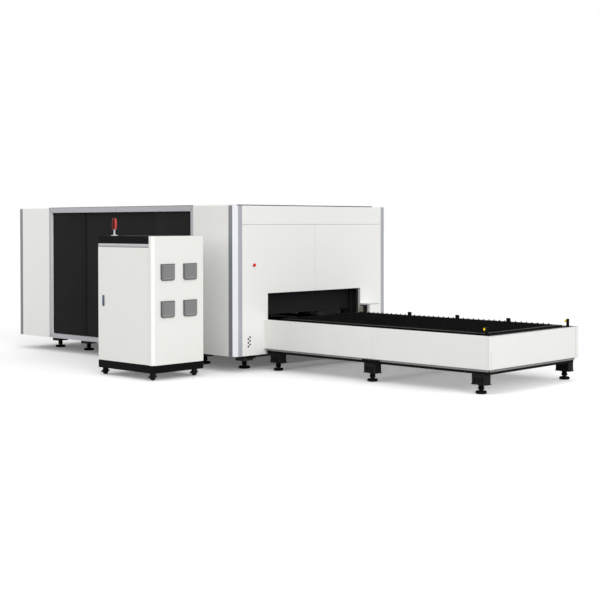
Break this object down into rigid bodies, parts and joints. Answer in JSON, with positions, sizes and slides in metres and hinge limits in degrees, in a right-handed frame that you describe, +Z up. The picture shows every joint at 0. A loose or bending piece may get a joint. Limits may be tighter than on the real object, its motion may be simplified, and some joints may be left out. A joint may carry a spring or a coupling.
{
  "type": "fiber laser cutting machine",
  "caption": "Enclosed fiber laser cutting cell with a dark window wall, a two-level pallet exchange table at its end and a separate control cabinet on casters.",
  "frame": {"origin": "on the floor under the middle of the whole machine's bounding box", "axes": "+X along the machine from the closed end to the exchange table, +Y from the window wall to the rear wall, +Z up"},
  "size_m": [8.446, 4.336, 2.154],
  "materials": {
    "white_paint": "satin",
    "corner_paint": "gloss",
    "cabinet_paint": "satin",
    "frame_grey": "satin",
    "trim_grey": "satin",
    "cover_grey": "matt",
    "dark_sheet": "matt",
    "black_paint": "satin",
    "bed_paint": "satin",
    "bare_steel": "brushed",
    "dark_steel": "satin",
    "drive_black": "satin",
    "motor_beige": "satin",
    "head_metal": "satin",
    "rack_metal": "satin",
    "sensor_yellow": "matt",
    "stop_red": "gloss",
    "lamp_red": "gloss",
    "lamp_grey": "matt",
    "lever_blue": "matt",
    "caster_metal": "satin",
    "caster_tread": "matt"
  },
  "bodies": {
    "machine": {"corner_profiles": "corner_paint", "front_panels": "white_paint", "window_frame": "frame_grey", "fixed_panes": "dark_sheet", "door_track": "black_paint", "end_fascia": "white_paint", "end_panel_near": "white_paint", "end_panel_far": "white_paint", "shutter_posts": "black_paint", "left_end_wall": "white_paint", "rear_panels": "white_paint", "roof_panels": "white_paint", "bed_frame": "bed_paint", "guide_rails": "bare_steel", "scrap_tray": "bare_steel", "levelling_feet": "black_paint", "table_frame": "black_paint", "skirt_ledge": "frame_grey", "side_skirts": "white_paint", "end_skirt": "white_paint", "leg_brackets": "black_paint", "pallet_tracks": "dark_steel", "transfer_chains": "bare_steel", "drive_cover": "white_paint", "exchange_motor": "motor_beige", "sensor_posts": "black_paint", "sensor_eyes": "sensor_yellow", "cabinet_shell": "cabinet_paint", "cabinet_side": "cabinet_paint", "cabinet_band": "black_paint", "cabinet_trim": "trim_grey", "cabinet_plinth": "black_paint", "filter_covers": "cover_grey", "control_rack": "rack_metal", "lamp_stem": "lamp_grey", "lamp_lens": "lamp_red"},
    "left_sliding_door": {"sliding_door_left": "dark_sheet"},
    "right_sliding_door": {"sliding_door_right": "dark_sheet"},
    "shutter": {"exchange_shutter": "black_paint"},
    "outer_pallet": {"outer_pallet_frame": "dark_steel", "outer_pallet_slats": "dark_steel"},
    "inner_pallet": {"inner_pallet_frame": "dark_steel", "inner_pallet_slats": "dark_steel"},
    "exchange_shaft": {"drive_shaft": "bare_steel"},
    "gantry": {"gantry_beam": "bed_paint", "gantry_drives": "drive_black"},
    "carriage": {"cross_carriage": "bed_paint"},
    "head": {"z_slide": "bed_paint", "cutting_head": "head_metal"},
    "cabinet_door": {"cabinet_door": "cabinet_paint"},
    "lever": {"door_lever": "lever_blue"},
    "stop_button": {"stop_button": "stop_red"},
    "caster_front_left": {"caster_fork_front_left": "caster_metal"},
    "wheel_front_left": {"caster_wheel_front_left": "caster_tread"},
    "caster_front_right": {"caster_fork_front_right": "caster_metal"},
    "wheel_front_right": {"caster_wheel_front_right": "caster_tread"},
    "caster_rear_left": {"caster_fork_rear_left": "caster_metal"},
    "wheel_rear_left": {"caster_wheel_rear_left": "caster_tread"},
    "caster_rear_right": {"caster_fork_rear_right": "caster_metal"},
    "wheel_rear_right": {"caster_wheel_rear_right": "caster_tread"}
  },
  "joints": [
    {"name": "left_door_slide", "type": "slide", "parent": "machine", "child": "left_sliding_door", "axis": [-1, 0, 0], "range_m": [0, 0.7195]},
    {"name": "right_door_slide", "type": "slide", "parent": "machine", "child": "right_sliding_door", "axis": [1, 0, 0], "range_m": [0, 0.7195]},
    {"name": "shutter_lift", "type": "slide", "parent": "machine", "child": "shutter", "axis": [0, 0, 1], "range_m": [0, 0.32]},
    {"name": "outer_pallet_slide", "type": "slide", "parent": "machine", "child": "outer_pallet", "axis": [-1, 0, 0], "range_m": [0, 3.65]},
    {"name": "inner_pallet_slide", "type": "slide", "parent": "machine", "child": "inner_pallet", "axis": [1, 0, 0], "range_m": [0, 3.65]},
    {"name": "exchange_shaft_turn", "type": "hinge", "parent": "machine", "child": "exchange_shaft", "pos_m": [0.785, 0.537, 0.335], "axis": [0, -1, 0], "continuous": true},
    {"name": "gantry_slide", "type": "slide", "parent": "machine", "child": "gantry", "axis": [1, 0, 0], "range_m": [0, 3.6]},
    {"name": "carriage_slide", "type": "slide", "parent": "gantry", "child": "carriage", "axis": [0, 1, 0], "range_m": [0, 1.5]},
    {"name": "head_slide", "type": "slide", "parent": "carriage", "child": "head", "axis": [0, 0, -1], "range_m": [0, 0.155]},
    {"name": "cabinet_door_hinge", "type": "hinge", "parent": "machine", "child": "cabinet_door", "pos_m": [0.4555, -2.156, 0.9], "axis": [0, 0, 1], "range_deg": [0, 110]},
    {"name": "lever_turn", "type": "hinge", "parent": "cabinet_door", "child": "lever", "pos_m": [-0.439, -2.156, 0.991], "axis": [0, -1, 0], "range_deg": [0, 90]},
    {"name": "stop_button_press", "type": "slide", "parent": "machine", "child": "stop_button", "axis": [-1, 0, 0], "range_m": [0, 0.005], "stiffness_N_per_m": 800},
    {"name": "caster_swivel_front_left", "type": "hinge", "parent": "machine", "child": "caster_front_left", "pos_m": [-0.476, -2.084, 0.088], "axis": [0, 0, 1], "continuous": true},
    {"name": "caster_roll_front_left", "type": "hinge", "parent": "caster_front_left", "child": "wheel_front_left", "pos_m": [-0.476, -2.101, 0.036], "axis": [1, 0, 0], "continuous": true},
    {"name": "caster_swivel_front_right", "type": "hinge", "parent": "machine", "child": "caster_front_right", "pos_m": [0.461, -2.084, 0.088], "axis": [0, 0, 1], "continuous": true},
    {"name": "caster_roll_front_right", "type": "hinge", "parent": "caster_front_right", "child": "wheel_front_right", "pos_m": [0.461, -2.101, 0.036], "axis": [1, 0, 0], "continuous": true},
    {"name": "caster_swivel_rear_left", "type": "hinge", "parent": "machine", "child": "caster_rear_left", "pos_m": [-0.476, -1.414, 0.088], "axis": [0, 0, 1], "continuous": true},
    {"name": "caster_roll_rear_left", "type": "hinge", "parent": "caster_rear_left", "child": "wheel_rear_left", "pos_m": [-0.476, -1.431, 0.036], "axis": [1, 0, 0], "continuous": true},
    {"name": "caster_swivel_rear_right", "type": "hinge", "parent": "machine", "child": "caster_rear_right", "pos_m": [0.461, -1.414, 0.088], "axis": [0, 0, 1], "continuous": true},
    {"name": "caster_roll_rear_right", "type": "hinge", "parent": "caster_rear_right", "child": "wheel_rear_right", "pos_m": [0.461, -1.431, 0.036], "axis": [1, 0, 0], "continuous": true}
  ],
  "couplings": [
    {"joint": "inner_pallet_slide", "follows": "outer_pallet_slide", "ratio": 1},
    {"joint": "exchange_shaft_turn", "follows": "outer_pallet_slide", "rad_per_m": 23.809}
  ]
}
